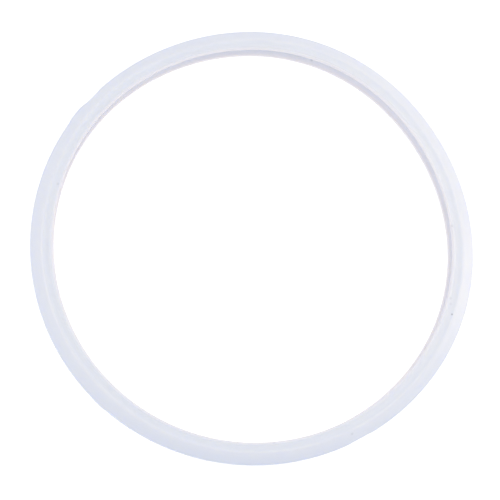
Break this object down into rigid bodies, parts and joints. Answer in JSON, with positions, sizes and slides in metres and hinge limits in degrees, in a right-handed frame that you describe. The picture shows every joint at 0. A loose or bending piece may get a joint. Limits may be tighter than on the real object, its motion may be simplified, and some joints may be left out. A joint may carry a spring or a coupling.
{
  "type": "pressure cooker sealing ring",
  "caption": "Round translucent silicone sealing ring for a pressure cooker lid, with sloping shoulders, a crest on each face, and beaded lips round a channel that opens inwards.",
  "frame": {"origin": "centre of the ring, at the height of its lower crest, on the surface that it lies on", "axes": "+Z along the ring's axis, from the lower face to the upper one; +X and +Y lie in the ring's plane, and any direction there is the same"},
  "size_m": [0.24, 0.24, 0.012],
  "materials": {
    "silicone": "translucent satin"
  },
  "bodies": {
    "root": {"sealing_ring": "silicone"}
  },
  "joints": []
}
